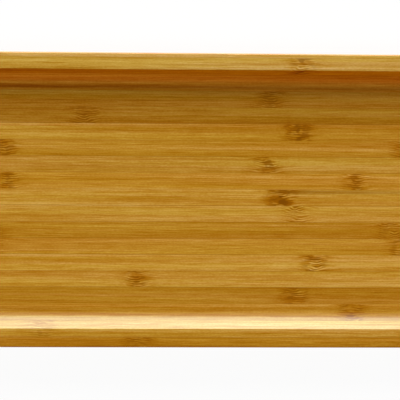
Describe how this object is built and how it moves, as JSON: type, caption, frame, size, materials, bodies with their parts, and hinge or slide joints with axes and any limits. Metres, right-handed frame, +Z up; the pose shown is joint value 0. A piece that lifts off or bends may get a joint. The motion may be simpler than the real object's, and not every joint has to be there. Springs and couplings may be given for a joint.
{
  "type": "display tray",
  "caption": "Shallow rectangular bamboo tray: laminated staves in two plies, with a milled recess that has coved, sloping walls.",
  "frame": {"origin": "middle of the underside, on the surface that the tray stands on", "axes": "+X along the grain and the long sides, +Y to the rear long side, +Z up out of the recess"},
  "size_m": [0.4, 0.22, 0.015],
  "materials": {
    "upper_bamboo": "satin lacquered carbonised bamboo",
    "lower_bamboo": "satin lacquered carbonised bamboo"
  },
  "bodies": {
    "root": {"upper_stave_01": "upper_bamboo", "upper_stave_02": "upper_bamboo", "upper_stave_03": "upper_bamboo", "upper_stave_04": "upper_bamboo", "upper_stave_05": "upper_bamboo", "upper_stave_06": "upper_bamboo", "upper_stave_07": "upper_bamboo", "upper_stave_08": "upper_bamboo", "upper_stave_09": "upper_bamboo", "upper_stave_10": "upper_bamboo", "upper_stave_11": "upper_bamboo", "upper_stave_12": "upper_bamboo", "upper_stave_13": "upper_bamboo", "upper_stave_14": "upper_bamboo", "upper_stave_15": "upper_bamboo", "upper_stave_16": "upper_bamboo", "upper_stave_17": "upper_bamboo", "upper_stave_18": "upper_bamboo", "upper_stave_19": "upper_bamboo", "lower_stave_01": "lower_bamboo", "lower_stave_02": "lower_bamboo", "lower_stave_03": "lower_bamboo", "lower_stave_04": "lower_bamboo", "lower_stave_05": "lower_bamboo", "lower_stave_06": "lower_bamboo", "lower_stave_07": "lower_bamboo", "lower_stave_08": "lower_bamboo", "lower_stave_09": "lower_bamboo", "lower_stave_10": "lower_bamboo", "lower_stave_11": "lower_bamboo", "lower_stave_12": "lower_bamboo", "lower_stave_13": "lower_bamboo", "lower_stave_14": "lower_bamboo", "lower_stave_15": "lower_bamboo", "lower_stave_16": "lower_bamboo", "lower_stave_17": "lower_bamboo", "lower_stave_18": "lower_bamboo"}
  },
  "joints": []
}
